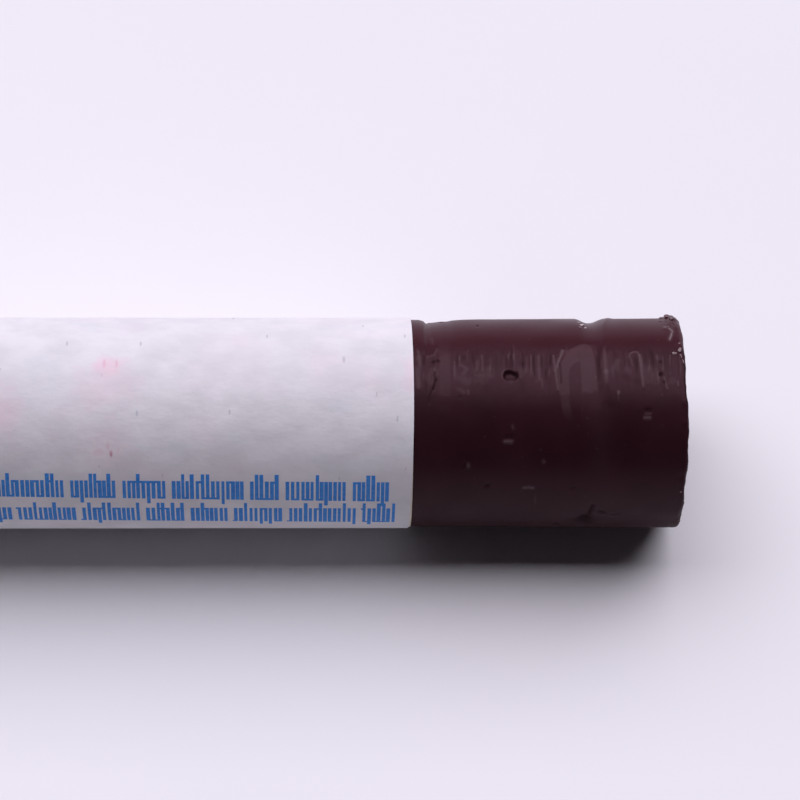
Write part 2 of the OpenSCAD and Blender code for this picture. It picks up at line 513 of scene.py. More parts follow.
studio = {
    "lampX": 8.0,
    "lampLift": 62.9,      # degrees above the table, behind the bar
    "lampAway": 1600.0, "lampWide": 3200.0, "lampDeep": 1710.0, "lampPower": 54.9,
    "lampColor": (0.9273, 0.8776, 0.99),
    "roomColor": (0.95, 0.85, 1.0, 1), "roomStrength": 0.0290,
    "horizonColor": (0.80, 0.76, 0.88, 1),
    "horizonLift": 4.0,      # degrees up to which the far wall is pale in reflections
    "horizonFade": 1.3, "tableRadius": 4000.0, "tableColumns": 96, "tableRings": 24,
}


def makeLamp():
    lift = math.radians(studio["lampLift"])
    data = bpy.data.lights.new("softLamp", "AREA")
    data.shape = "RECTANGLE"
    data.size = studio["lampWide"] * mm
    data.size_y = studio["lampDeep"] * mm
    data.energy = studio["lampPower"]
    data.color = studio["lampColor"]
    lamp = bpy.data.objects.new("softLamp", data)
    away = studio["lampAway"]
    lamp.location = Vector((studio["lampX"], math.cos(lift) * away, math.sin(lift) * away)) * mm
    lamp.rotation_euler = (lift - math.pi / 2, 0, 0)
    bpy.context.scene.collection.objects.link(lamp)


def makeRoom():  # dim, but pale where the eye sees it behind the table, and low down in reflections
    world = bpy.data.worlds.new("room")
    world.use_nodes = True
    bench = NodeBench(world.node_tree)
    dim = world.node_tree.nodes["Background"]
    dim.inputs["Color"].default_value = studio["roomColor"]
    dim.inputs["Strength"].default_value = studio["roomStrength"]
    pale = bench.add("ShaderNodeBackground", {"Color": studio["horizonColor"], "Strength": 1.0})
    height = bench.parts(bench.add("ShaderNodeTexCoord").outputs["Generated"])[2]
    limit = math.sin(math.radians(studio["horizonLift"]))
    low = bench.span(height, limit, limit * studio["horizonFade"], 1.0, 0.0)
    ray = bench.add("ShaderNodeLightPath").outputs
    mirrored = bench.times(low, bench.math("MAXIMUM", ray["Is Glossy Ray"], ray["Is Transmission Ray"]))
    seen = bench.math("MAXIMUM", ray["Is Camera Ray"], mirrored)
    wall = bench.add("ShaderNodeMixShader", {0: seen, 1: dim.outputs[0], 2: pale.outputs[0]})
    bench.put(world.node_tree.nodes["World Output"].inputs["Surface"], wall.outputs[0])
    bpy.context.scene.world = world


def makeTable():  # a disc whose rings grow wider outwards
    columns, rings = studio["tableColumns"], studio["tableRings"]
    radii = studio["tableRadius"] * np.linspace(0, 1, rings + 1)[1:] ** 2
    turns = np.linspace(0, 2 * math.pi, columns, endpoint=False)
    points = [(0.0, 0.0, 0.0)]
    for radius in radii:
        points += [(radius * math.cos(t) * mm, radius * math.sin(t) * mm, 0.0) for t in turns]
    mesh = bpy.data.meshes.new("studioTable")
    mesh.from_pydata(points, [], ringFaces(columns, rings))
    mesh.shade_smooth()
    mesh.materials.append(makeTwoTone("paleTable", tableLook))
    table = bpy.data.objects.new("studioTable", mesh)
    bpy.context.scene.collection.objects.link(table)


makeLamp()
makeRoom()
makeTable()
bpy.context.scene.view_settings.view_transform = "Standard"
print("table and lamp placed")


# wax bar
# s is the distance from the tip face, in millimetres; an angle is counted from +Y towards +Z, in degrees
# a pair is where something starts to come or go and where that is done; four are where it comes and goes

waxForm = {
    "draft": 0.09, "tipCorner": 0.20, "baseCorner": 0.5, "dishRim": 1.5, "dishDepth": 0.35,
    "faceSink": 0.02,        # how far the rough faces keep inside the bar's ends
    "baseSink": 0.015, "edgeSink": 0.012, "tipRough": 0.012, "baseRough": 0.015,
    "firstRows": [0.0, 0.012, 0.035, 0.065, 0.10, 0.15],
    "rowSpan": (0.20, 15.55), "rowStep": 0.052, "underLabel": 0.05,
    # first angle, last angle and step, finest in the scraped band
    "columnSpans": [(30, 70, 1.15), (70, 108, 0.62), (108, 210, 1.15), (210, 390, 2.9)],
    # the rings of the tip face and the base face, as shares of the radius
    "tipShares": [0.985, 0.965, 0.94, 0.91, 0.875, 0.84, 0.80, 0.755, 0.71, 0.66, 0.61, 0.56, 0.50, 0.44,
                  0.38, 0.32, 0.26, 0.20, 0.14, 0.08],
    "baseShares": [0.93, 0.84, 0.72, 0.58, 0.42, 0.26, 0.12],
    # pale wear with painted light and shade, how scraped, roughness and how much painted sheen
    "tipLooks": (0.10, 0.4, 0.40, 0.3), "baseLooks": (0.0, 0.0, 0.42, 0.3),
    # painted sheen: round this angle the upper back side is coloured redder
    "paintedTopSheen": {"angle": 30, "ends": (30, 62)},
    # how much, at which angle and over how many degrees
    "cornerChanges": [(0.7, 182, 12), (-0.35, 36, 16)],
    "rimBack": 0.06,
    "rimDents": [(0.05, 44, 14), (0.03, 76, 10), (0.12, 161, 7)],
    "rimNoise": [(0.03, 38, 10), (0.018, 130, 12)],   # how much, its cells round the bar and its seed
    "labelShy": (0.16, 0.02),    # the marks end this far from the label's edge
    "lumps": 0.010,
    "crown": {"s": 3.35, "angle": 95, "half": 1.0, "rise": 0.019},
    "streaks": 0.006,
    "ripple": {"rise": 0.008, "span": (84, 92, 112, 120)},
    "band": {"starts": (73, 79), "ends": (97, 103)},
    "groove": {"angle": 30, "depth": 0.27, "along": (4.3, 5.2, 5.32, 6.08)},
    "arch": {"depth": 0.10, "span": (70, 81, 96, 128), "leftWall": (-0.55, 0.02), "rightWall": (4.88, 5.28),
             "tilt": (6.25, 6.0), "tiltShare": 0.45, "tone": 0.15},
    # the slot's tone is painted shade along it
    "slot": {"half": 0.13, "span": (70, 76, 99, 107), "depth": 0.01, "tone": 0.20},
    # the ridge's tone is a painted highlight along it in the scraped band
    "ridge": {"half": 0.19, "rise": 0.052, "calmHalf": 0.25, "toneHalf": 0.12, "tone": 0.24},
    "crease": {"angle": 40, "depth": 0.27},
    # the flank's tone is a painted highlight on its smooth face
    "flank": {"along": (13.35, 13.6, 14.0, 14.25), "span": (66, 76, 104, 118), "tone": 0.08},
    # the crater's tone is painted shade on its steep wall, and its glint a painted highlight on its lip
    "crater": {"s": 10.09, "angle": 94.2, "long": 1.08, "depth": 0.14, "wall": (0.24, 0.40),
               "floor": (-0.12, 0.42), "lip": (0.05, 0.62), "lipRadius": 0.46, "lipHalf": 0.06,
               "lipRise": 0.016, "tone": 0.95, "glint": 0.35},
    # the torn patch's tone is painted shade in its dent
    "torn": {"s": 5.67, "angle": 186.0, "long": 0.76, "across": 0.72, "depth": 0.13, "tone": 0.88},
    "burr": {"angle": 35, "half": 19, "rise": 0.17, "along": (-0.05, 0.30, 0.62, 1.15)},
    "nibble": {"depth": 0.045, "ends": (0.1, 0.8)},
    "seed": 11,
}

# the pale part of the arch, and the darker block inside it
archEdge = {
    "left": (0.04, -0.06), "right": (-0.05, 0.05), "starts": (70.6, 72.4), "inner": (0.04, -0.05),
    "blockLeft": 6.07, "blockSide": (-0.03, 0.04), "blockStarts": (83.8, 85.2),
    "blockEnds": (102.6, 104.2), "legEnds": (108, 121),
}

# short drags and worn patches in the scraped band; the drags' pale and dark streaks are painted highlight and
# painted shade, and dim paints shade along the band's upper part
bandForm = {
    "starts": (75, 79), "ends": (88, 95), "light": (0.25, 0.75), "dark": (0.25, 0.80),
    "rise": 0.009, "sink": 0.012, "tone": 0.32, "wear": (0.10, 0.35), "wearStarts": (84, 90),
    "wearEnds": (98.2, 99.4), "wearRise": 0.004, "wearTone": 0.10, "dimStarts": (74, 79),
    "dimEnds": (86, 91), "dimTone": 0.10,
}

archTurns = [71.4, 73.1, 77, 81.6, 84.3, 84.9, 86.2, 89.9, 94.4, 98, 103.5, 109, 113.4, 118.3]

# what changes from place to place, as the places and the values there
waxTables = {
    # round the bar
    "skinRough": ([-60, 30, 50, 60, 70, 82, 125, 145, 165, 180, 196, 215, 300],
                  [0.44, 0.32, 0.33, 0.38, 0.32, 0.29, 0.29, 0.36, 0.42, 0.5, 0.58, 0.5, 0.44]),
    "slotAt": ([74, 86, 95.6, 107.2], [5.08, 5.11, 5.04, 4.95]),
    "ridgeAt": ([20, 37, 50, 74, 90, 96, 102.5, 120], [4, 4.12, 4.5, 4.7, 4.7, 4.66, 4.52, 4.35]),
    "ridgeSpan": ([-60, 0, 30, 60, 74, 98, 104, 112], [0, 0.5, 0.9, 0.6, 1, 1, 0.35, 0]),
    "creaseAt": ([0, 36, 75, 110, 141, 189, 230], [14.6, 14.6, 14.7, 14.75, 14.79, 14.64, 14.7]),
    # the arch pressed in beside the groove: its outer left side, its inner left side and its right side
    "archOuter": (archTurns, [
        5.75, 6.16, 6.72, 6.98, 7.12, 7.16, 7.22, 7.34, 7.4, 7.4, 7.38, 7.3, 7.2, 7.05]),
    "archInner": (archTurns, [
        5.95, 5.97, 6, 6.02, 6.05, 6.26, 6.5, 6.74, 6.8, 6.8, 6.78, 6.76, 6.72, 6.6]),
    "archRight": (archTurns, [
        5.75, 5.45, 5.3, 5.24, 5.22, 5.21, 5.2, 5.19, 5.18, 5.18, 5.18, 5.18, 5.18, 5.18]),
    # degrees away from where each is deepest
    "grooveFade": ([0, 12, 24, 38, 50, 80, 100, 130], [1, 0.85, 0.55, 0.3, 0.22, 0.16, 0.08, 0]),
    "creaseFade": ([0, 14, 32, 50, 100, 150, 170], [1, 0.85, 0.4, 0.22, 0.12, 0.1, 0]),
    # across the crease, from its middle towards the tip
    "creaseSide": ([-0.5, -0.25, -0.08, 0.04, 0.2, 0.4, 0.9, 1.25, 1.6, 2.2, 3.2],
                   [0.04, 0.3, 0.9, 1, 0.8, 0.74, 0.52, 0.5, 0.24, 0.08, 0]),
}

# paler and darker areas: how pale, where they end along the bar, and where they are round it; the darker
# underside is painted shade, the pale strip on the tip's upper corner a painted highlight
waxAreas = [
    (-0.14, (20, 21), (182, 192, 215, 240)),
    (0.12, (0.8, 2.4), (174, 184, 200, 215)),
    (0.30, (0.10, 0.34), (40, 48, 68, 80)),
]

# drags along the turn: s, first angle, last angle, half width, height, how pale if raised or dark if sunk;
# the pale of a raised drag is a painted highlight, the dark of a sunk one painted shade
waxDrags = [
    (15.32, 80, 102, 0.13, 0.01, 0.3), (14.96, 79.5, 86, 0.06, -0.012, 0.4),
    (14.87, 97.5, 103, 0.05, -0.01, 0.4), (14.4, 88, 93, 0.05, 0.01, 0.3),
    (14.7, 80.5, 87.5, 0.15, 0.008, 0.2), (14.62, 88, 99, 0.17, 0.006, 0.15),
    (13.24, 84, 95, 0.07, 0.012, 0.3), (13.07, 78, 87, 0.06, -0.012, 0.3),
    (12.93, 80, 84.5, 0.06, 0.012, 0.28), (12.66, 80, 83.5, 0.12, -0.01, 0.3),
    (12.47, 76, 85, 0.06, 0.01, 0.24), (12.18, 76, 86, 0.05, -0.012, 0.28),
    (12.05, 84, 92, 0.2, 0.006, 0.14), (11.95, 92, 100, 0.05, -0.012, 0.35),
    (11.65, 80, 91, 0.07, 0.01, 0.3), (11.42, 79, 88, 0.05, -0.008, 0.2),
    (11.2, 82, 91, 0.06, 0.01, 0.3), (10.17, 79.5, 83, 0.05, 0.01, 0.4),
    (9.9, 79.5, 83, 0.05, 0.01, 0.4), (10.03, 80.5, 82.5, 0.04, -0.012, 0.45),
    (9.38, 85, 88, 0.05, -0.015, 0.6), (9.2, 81, 92.5, 0.12, 0.008, 0.22),
    (9.45, 97, 105, 0.16, -0.01, 0.16), (8.9, 80, 93, 0.05, 0.012, 0.32),
    (8.73, 77, 94, 0.06, -0.018, 0.5), (8.47, 80, 97, 0.08, 0.01, 0.3),
    (8.33, 95, 101, 0.05, 0.01, 0.26), (8.1, 90, 96, 0.06, -0.012, 0.4),
    (7.9, 82, 93, 0.06, 0.01, 0.28), (7.75, 78, 88, 0.05, -0.01, 0.25),
    (4, 78, 83, 0.12, -0.01, 0.25), (3.6, 74, 80, 0.06, -0.01, 0.2),
    (2.95, 82, 93, 0.07, -0.014, 0.35), (2.2, 83, 91, 0.06, 0.01, 0.28),
    (2.42, 74, 86, 0.05, -0.01, 0.25), (2.02, 78, 92, 0.06, -0.01, 0.25),
    (1.74, 80, 84.5, 0.06, 0.012, 0.36), (1.74, 91.5, 98, 0.06, 0.012, 0.32),
    (1.42, 80.5, 91, 0.055, 0.014, 0.4), (1, 80, 88, 0.06, 0.012, 0.35),
    (4.01, 104, 108.5, 0.05, 0.01, 0.35),
]

# marks along a line: points as (s, angle), half width, height, how pale if raised or dark if sunk; the dark
# of a sunk mark is painted shade
waxMarks = [
    # the broken line in the crease beside the label
    ([(14.36, 91.3), (14.38, 93.7), (14.31, 96.2)], 0.05, -0.035, 0.55),
    ([(14.31, 96.2), (14.43, 100.3), (14.47, 101.5)], 0.065, -0.045, 0.62),
    ([(14.47, 101.5), (14.59, 103.5), (14.67, 106.1), (14.71, 109.5)], 0.05, -0.035, 0.48),
    ([(14.46, 84.6), (14.4, 84.2)], 0.07, -0.06, 0.9),
    ([(14.22, 83.4), (14.15, 83.7)], 0.07, -0.06, 0.9),
    ([(14.4, 84.2), (14.22, 83.4)], 0.04, -0.02, 0.5),
    ([(14.75, 80.5), (14.4, 79.5), (14.2, 76)], 0.1, 0.014, 0.22),
    ([(14.45, 66), (14.42, 71)], 0.08, 0.01, 0.16),
    # worn patches in the band
    ([(13, 95), (12.6, 97)], 0.24, 0.006, 0.14),
    ([(12.05, 96.8), (11.7, 96.2)], 0.22, 0.006, 0.12),
    ([(12.9, 86.5), (12.55, 89.5), (12.75, 92.5)], 0.12, 0.006, 0.2),
    ([(12, 93.5), (11.2, 93.8)], 0.16, 0.006, 0.18),
    ([(13.05, 101.5), (12.75, 103.5)], 0.13, 0.006, 0.16),
    ([(12.5, 102.5), (12.49, 104.5)], 0.05, 0.01, 0.32),
    ([(3.95, 84.5), (4.2, 89)], 0.2, 0.006, 0.16),
    ([(3.6, 94.5), (2.9, 98.5)], 0.22, -0.01, 0.16),
    # the hook, and the smears beside the arch
    ([(3.3, 81.5), (3.22, 79.2), (3, 78.2), (2.78, 78.6), (2.71, 80.5)], 0.07, 0.014, 0.42),
    ([(2.71, 80.5), (2.67, 86), (2.66, 93), (2.6, 100)], 0.07, 0.012, 0.46),
    ([(3.28, 81), (3.16, 88)], 0.06, 0.01, 0.22),
    ([(7.62, 80.5), (7.56, 88), (7.5, 95.5), (7.43, 102)], 0.06, 0.016, 0.42),
    ([(7.06, 77.3), (7.16, 80.2)], 0.11, 0.016, 0.55),
    ([(7.16, 80.2), (7.34, 85), (7.46, 89)], 0.065, 0.018, 0.55),
    ([(7.55, 90.5), (7.53, 91)], 0.06, 0.014, 0.6),
    ([(7.27, 86), (7.24, 92), (7.24, 98)], 0.05, -0.014, 0.35),
    ([(1.4, 95), (1.25, 101.5)], 0.055, 0.014, 0.38),
    ([(0.56, 97.5), (0.54, 99.8)], 0.05, 0.012, 0.42),
    ([(4.01, 103.2), (4.01, 104.4)], 0.07, 0.016, 0.55),
    ([(4.68, 91.2), (4.68, 92)], 0.11, 0.01, 0.55),
    # pits and pale specks below the band
    ([(1.55, 84.8), (1.55, 85.2)], 0.06, -0.06, 0.8),
    ([(1.58, 92.9), (1.58, 93.3)], 0.09, -0.08, 0.95),
    ([(1.42, 97.5), (1.42, 98.5)], 0.05, -0.04, 0.6),
    ([(12.98, 105.9), (12.96, 106.6)], 0.05, -0.02, 0.35),
    ([(2.5, 113.6), (2.22, 113.6)], 0.08, -0.06, 0.7),
    ([(2.56, 117.3), (2.28, 117.3)], 0.09, 0.02, 0.55),
    ([(2.66, 130.5), (2.6, 130.5)], 0.07, -0.05, 0.8),
    ([(10.46, 130), (10.06, 130.2)], 0.09, 0.02, 0.66),
    ([(10.35, 127.4), (9.95, 127.4)], 0.05, -0.05, 0.7),
    ([(10.03, 121.5), (9.97, 123)], 0.07, 0.012, 0.26),
    ([(9.3, 157.3), (9.04, 157), (8.78, 157.5)], 0.09, 0.02, 0.7),
    ([(8.26, 140.8), (8.2, 141.4)], 0.08, 0.02, 0.45),
    ([(12.51, 143), (12.47, 144)], 0.1, 0.02, 0.5),
    ([(12.7, 142), (12.72, 143.4)], 0.07, -0.05, 0.8),
    ([(11.45, 155.9), (11.3, 155.7)], 0.09, -0.06, 0.8),
    ([(6.62, 157), (6.4, 157)], 0.06, -0.04, 0.6),
    ([(8.62, 163), (8.6, 169)], 0.05, 0.01, 0.2),
    # the torn patch low on the front, and its cracks, darkened with painted shade
    ([(5.31, 170.9), (5.37, 173.9), (5.48, 178.8), (5.58, 184)], 0.12, -0.08, 0.74),
    ([(5.25, 174.8), (4.81, 176.3), (4.45, 178.3)], 0.05, -0.02, 0.34),
    ([(4.85, 176.2), (4.62, 177.4)], 0.09, -0.05, 0.72),
    ([(4.16, 179.4), (3.9, 179), (3.71, 178.3)], 0.06, -0.03, 0.45),
    ([(5.2, 178.3), (4.78, 180.1), (4.26, 181.6), (3.68, 182)], 0.05, 0.016, 0.24),
    ([(7.3, 193), (7.05, 194.5)], 0.1, -0.07, 0.8),
    ([(5.95, 196.5), (5.9, 197)], 0.07, 0.02, 0.45),
    # the curl of wax on the rim
    ([(1.05, 56.2), (0.83, 57.4), (0.64, 61.2), (0.75, 65.7), (0.88, 68.8)], 0.095, 0.05, 0.8),
    # marks out of the photograph's sight
    ([(13.45, 317), (13.4, 319)], 0.1, -0.06, 0.7),
    ([(13.85, 35), (13.78, 38)], 0.08, -0.05, 0.7),
    ([(11.8, 52), (11.78, 53)], 0.06, -0.04, 0.5),
]


def tableAt(name, value):
    return np.interp(value, *waxTables[name])


class SidePlaces:  # places on the bar's side, and the noise there
    def __init__(self, s, angle):
        self.s = s
        self.angle = angle
        self.radians = np.radians(angle)

    def noise(self, cell, cellsRound, seed):
        return ringNoise(self.s, self.angle, cell, cellsRound, waxForm["seed"] + seed)

    def lineNoise(self, cell, seed):  # the same all the way round
        return ringNoise(self.s, self.angle * 0, cell, 9, waxForm["seed"] + seed)

    def turned(self, middle):  # degrees from an angle
        return turnFrom(self.angle, middle)

    def across(self, middle):  # millimetres from an angle
        return self.turned(middle) * arcPerDegree

    def fromLine(self, points):  # millimetres from a line drawn on the side
        nearest = np.full(self.s.shape, 1e9)
        for (s0, a0), (s1, a1) in zip(points, points[1:]):
            ds, da = s1 - s0, (a1 - a0) * arcPerDegree
            ps, pa = self.s - s0, self.across(a0)
            part = np.clip((ps * ds + pa * da) / max(ds * ds + da * da, 1e-9), 0, 1)
            nearest = np.minimum(nearest, np.hypot(ps - part * ds, pa - part * da))
        return nearest


def archMasks(place):  # the pale part of the arch, and the whole of it
    s, angle, edge = place.s, place.angle, archEdge
    outer, inner, right = [tableAt(name, angle) for name in ("archOuter", "archInner", "archRight")]
    whole = past(outer, edge["left"], s) * past(right, edge["right"], s) * smooth(*edge["starts"], angle)
    dark = past(inner, edge["inner"], s) * past(edge["blockLeft"], edge["blockSide"], s)
    dark = dark * smooth(*edge["blockStarts"], angle)
    blockEnd = fall(*edge["blockEnds"], angle + 1.6 * place.lineNoise(0.19, 23))
    lowEnd = np.where(s > edge["blockLeft"], fall(*edge["legEnds"], angle), blockEnd)
    return whole * (1 - dark) * lowEnd, whole


def bandTexture(place):  # height, and pale wear with painted highlight and painted shade
    angle, form = place.angle, bandForm
    start = 3.0 * place.lineNoise(0.30, 20) + 2.5 * place.lineNoise(0.11, 46)
    drag = place.noise(0.12, 42, 40) + 0.5 * place.noise(0.07, 34, 41)
    busy = 0.45 + 0.55 * smooth(-0.5, 0.5, place.lineNoise(0.9, 42))
    shown = smooth(*form["starts"], angle - start) * fall(*form["ends"], angle + start) * busy
    light, dark = smooth(*form["light"], drag), smooth(*form["dark"], -drag)
    wear = place.noise(0.50, 44, 43) + 0.5 * place.noise(0.16, 70, 44)
    lowEnd = fall(*form["wearEnds"], angle + place.lineNoise(0.22, 45))
    worn = smooth(*form["wear"], wear) * smooth(*form["wearStarts"], angle) * lowEnd
    dim = smooth(*form["dimStarts"], angle - 1.2 * start) * fall(*form["dimEnds"], angle)
    height = shown * (form["rise"] * light - form["sink"] * dark) + form["wearRise"] * worn
    # the drags' pale and dark are painted highlight and painted shade; dim is painted shade along the band's
    # upper part
    wearAndPaintedLight = shown * form["tone"] * (light - dark) + form["wearTone"] * worn - form["dimTone"] * dim
    return height, wearAndPaintedLight


def craterShape(place):  # height, and a painted shade crescent with a painted highlight on the lip; its steep wall is on the side away from the table
    form = waxForm["crater"]
    down = place.across(form["angle"])
    radius = np.hypot((place.s - form["s"]) / form["long"], down) * (1 + 0.16 * place.noise(0.22, 90, 22))
    lip = fall(*form["lip"], down / np.maximum(radius, 0.01))
    height = -form["depth"] * fall(*form["wall"], radius) * fall(*form["floor"], down)
    height = height + form["lipRise"] * bell(radius, form["lipRadius"], form["lipHalf"]) * lip
    shade = bell(radius, 0.28 + 0.05 * smooth(-0.2, 0.2, down), 0.12 - 0.04 * smooth(-0.1, 0.2, down)) * lip
    glint = bell(radius, 0.47, 0.05) * bell(place.s, 10.5, 0.30) * lip
    return height, form["glint"] * glint - form["tone"] * shade


def tornPatch(place):  # height, and painted shade in the torn dent, under the groove
    form = waxForm["torn"]
    radius = np.hypot((place.s - form["s"]) / form["long"], place.across(form["angle"]) / form["across"])
    radius = radius + 0.30 * place.noise(0.32, 60, 5)
    return -form["depth"] * fall(0.10, 1.15, radius), -form["tone"] * fall(0.15, 1.15, radius)


def rimShape(place):  # height of the smeared burr and of the nibbled rim
    form, nibble = waxForm["burr"], waxForm["nibble"]
    burr = form["rise"] * bell(place.turned(form["angle"]), 0, form["half"])
    burr = burr * within(place.s, *form["along"])
    burr = burr * (0.80 + 0.30 * place.noise(0.25, 60, 6) + 0.25 * place.noise(0.15, 110, 26))
    return burr - nibble["depth"] * fall(*nibble["ends"], place.s) * (0.5 + 0.5 * place.noise(0.3, 96, 7))


def dentShape(place, slotLine):  # height of the groove, the arch beside it with its slot, and the crease
    s, angle = place.s, place.angle
    groove, arch, crease = waxForm["groove"], waxForm["arch"], waxForm["crease"]
    height = -groove["depth"] * tableAt("grooveFade", np.abs(place.turned(groove["angle"])))
    height = height * within(s, *groove["along"])
    # a sloping rim round a flatter floor, whose right half is tilted
    pressed = within(angle, *arch["span"]) * smooth(*arch["rightWall"], s)
    pressed = pressed * (1 - past(tableAt("archOuter", angle), arch["leftWall"], s))
    pressed = pressed * (1 - arch["tiltShare"] + arch["tiltShare"] * smooth(*arch["tilt"], s))
    height = height - arch["depth"] * pressed - waxForm["slot"]["depth"] * slotLine
    folded = tableAt("creaseFade", np.abs(place.turned(crease["angle"])))
    return height - crease["depth"] * folded * tableAt("creaseSide", tableAt("creaseAt", angle) - s)


def waxTones(place):  # paler wax, and painted shade
    s, angle = place.s, place.angle
    wearAndPaintedLight = sum(tone * fall(*end, s) * within(angle, *span) for tone, end, span in waxAreas)
    # paler under the arch; painted shade low in the crease, round the torn patch, and below the step under
    # the band
    wearAndPaintedLight = wearAndPaintedLight + 0.05 * bell(s, 5.0, 0.7) * within(angle, 104, 108, 140, 160)
    lowCrease = smooth(14.15, 14.6, s) * smooth(102, 105, angle + 3 * (s - 14.6)) * fall(112, 122, angle)
    step = angle + 0.9 * place.lineNoise(1.1, 28) + 0.4 * place.lineNoise(0.3, 29)
    wearAndPaintedLight = wearAndPaintedLight - 0.22 * lowCrease - 0.14 * bell(s, 4.9, 1.5) * bell(place.turned(184), 0, 8)
    return wearAndPaintedLight - 0.11 * smooth(104.4, 105.0, step) * fall(105.5, 113, angle)


def waxSurface(s, angle):  # height above the plain bar, then pale wear with painted light and shade, how scraped it is and its roughness
    form = waxForm
    place = SidePlaces(s, angle)
    inside = fall(*(bar["bareTip"] - shy for shy in form["labelShy"]), s)

    # the scraped band is where something dragged over the bar
    ragged = 5.0 * place.lineNoise(0.35, 20) + 3.0 * place.lineNoise(0.12, 21)
    band = smooth(*form["band"]["starts"], angle + 0.6 * ragged) * fall(*form["band"]["ends"], angle + ragged)
    patch = 0.5 + 0.5 * place.noise(1.3, 16, 2)
    fine = place.noise(0.11, 20, 3) + 0.6 * place.noise(0.21, 15, 4)
    streaks = form["streaks"] * fine * (0.35 + patch) * (0.12 + 0.88 * band)

    crown, ripple, slot, ridge, flank = [form[name] for name in ("crown", "ripple", "slot", "ridge", "flank")]
    height = form["lumps"] * (place.noise(2.1, 13, 0) + 0.5 * place.noise(1.0, 22, 1))
    crownRound = bell(place.across(crown["angle"]), 0, crown["half"])
    height = height + crown["rise"] * bell(s, crown["s"], crown["half"]) * crownRound
    height = height + ripple["rise"] * place.noise(0.42, 38, 24) * within(angle, *ripple["span"])
    slotLine = bell(s, tableAt("slotAt", angle), slot["half"]) * within(angle, *slot["span"])
    height = height + dentShape(place, slotLine) + rimShape(place)

    ridgeAt, ridgeSpan = tableAt("ridgeAt", angle), tableAt("ridgeSpan", angle)
    height = height + ridge["rise"] * ridgeSpan * bell(s, ridgeAt, ridge["half"])
    flankSpan = within(s, *flank["along"]) * within(angle, *flank["span"])

    archPale, archWhole = archMasks(place)
    calm = np.clip(archWhole + ridgeSpan * bell(s, ridgeAt, ridge["calmHalf"]) + flankSpan, 0, 1)
    bandHeight, bandWearAndPaintedLight = bandTexture(place)
    height = height + (streaks + bandHeight) * (1 - 0.95 * calm)
    # painted shade along the slot; painted highlight on the flank and along the ridge; the arch paler
    wearAndPaintedLight = bandWearAndPaintedLight * (1 - calm) + waxTones(place) - slot["tone"] * slotLine
    wearAndPaintedLight = wearAndPaintedLight + form["arch"]["tone"] * archPale + flank["tone"] * flankSpan
    wearAndPaintedLight = wearAndPaintedLight + ridge["tone"] * ridgeSpan * bell(s, ridgeAt, ridge["toneHalf"]) * band
    for shape in (craterShape, tornPatch):
        rise, tone = shape(place)
        height = height + rise
        wearAndPaintedLight = wearAndPaintedLight + tone

    wander = s + 0.035 * place.noise(0.8, 80, 8)
    for middle, first, last, half, rise, tone in waxDrags:
        stroke = bell(wander, middle, half) * within(angle, first - 1.2, first + 1.2, last - 1.8, last + 1.8)
        height = height + rise * stroke
        wearAndPaintedLight = wearAndPaintedLight + math.copysign(tone, rise) * stroke
    for points, half, rise, tone in waxMarks:
        mark = bell(place.fromLine(points), 0, half)
        height = height + rise * mark
        wearAndPaintedLight = wearAndPaintedLight * (1 - mark) + math.copysign(tone, rise) * mark
    dull = tableAt("skinRough", place.turned(120) + 120) + 0.05 * (1 + place.noise(1.6, 18, 27)) * (1 - band)
    return height * inside, np.clip(wearAndPaintedLight, -1, 1) * inside, band * (1 - calm) * inside, dull


# the rim is the places at s = 0, one for each column of the mesh

def rimStray(rim):  # how far the tip's rim keeps back along the bar
    form = waxForm
    stray = form["rimBack"] * within(rim.angle, 60, 75, 105, 110)
    for far, middle, half in form["rimDents"]:
        stray = stray + far * bell(rim.turned(middle), 0, half)
    for far, cellsRound, seed in form["rimNoise"]:
        stray = stray + far * (1 + rim.noise(1.0, cellsRound, seed))
    return stray


# a ring is its x, its radius and its looks, which are the pale wear with painted light and shade, how scraped
# it is and its roughness

def sideRings(rim, stray):  # from the tip face to just inside the label
    form = waxForm
    rows = np.concatenate([form["firstRows"], np.arange(*form["rowSpan"], form["rowStep"]),
                           [bar["bareTip"], bar["bareTip"] + form["underLabel"]]])
    s, angle = np.meshgrid(rows, rim.angle, indexing="ij")
    height, wearAndPaintedLight, scraped, dull = waxSurface(s, angle)
    corner = 1 + 0.35 * rim.noise(1.0, 34, 9)
    for share, middle, half in form["cornerChanges"]:
        corner = corner + share * bell(rim.turned(middle), 0, half)
    corner = form["tipCorner"] * corner
    drop = np.where(s < corner, corner - np.sqrt(np.clip(corner ** 2 - (corner - s) ** 2, 0, None)), 0)
    radius = bar["radius"] + form["draft"] * (1 - s / bar["bareTip"]).clip(0, 1) + height - drop
    x = bar["tipX"] - s - stray * fall(0.0, 1.2, s)
    return [(x[i], radius[i], (wearAndPaintedLight[i], scraped[i], dull[i])) for i in range(len(rows))]


def tipRings(rim, stray, rimRadius):  # the dished tip face, from its middle to the rim
    form = waxForm
    looks = [rim.s + value for value in form["tipLooks"][:3]]
    flat = bar["radius"] - form["dishRim"]
    rings = []
    for share in form["tipShares"]:
        r = rimRadius * share
        y, z = r * np.cos(rim.radians), r * np.sin(rim.radians)
        dish = form["dishDepth"] * (1 - np.clip(r / flat, 0, 1) ** 2) ** 1.3
        rough = form["tipRough"] * ringNoise(y + 0.6 * z, z * 25 + y * 6, 0.45, 60, form["seed"] + 13)
        rough = rough * smooth(0.0, 0.3, share)
        x = bar["tipX"] - stray * smooth(0.75, 1.0, share) - dish - form["faceSink"] - rough
        rings.append((x, r, looks))
    return rings[::-1]


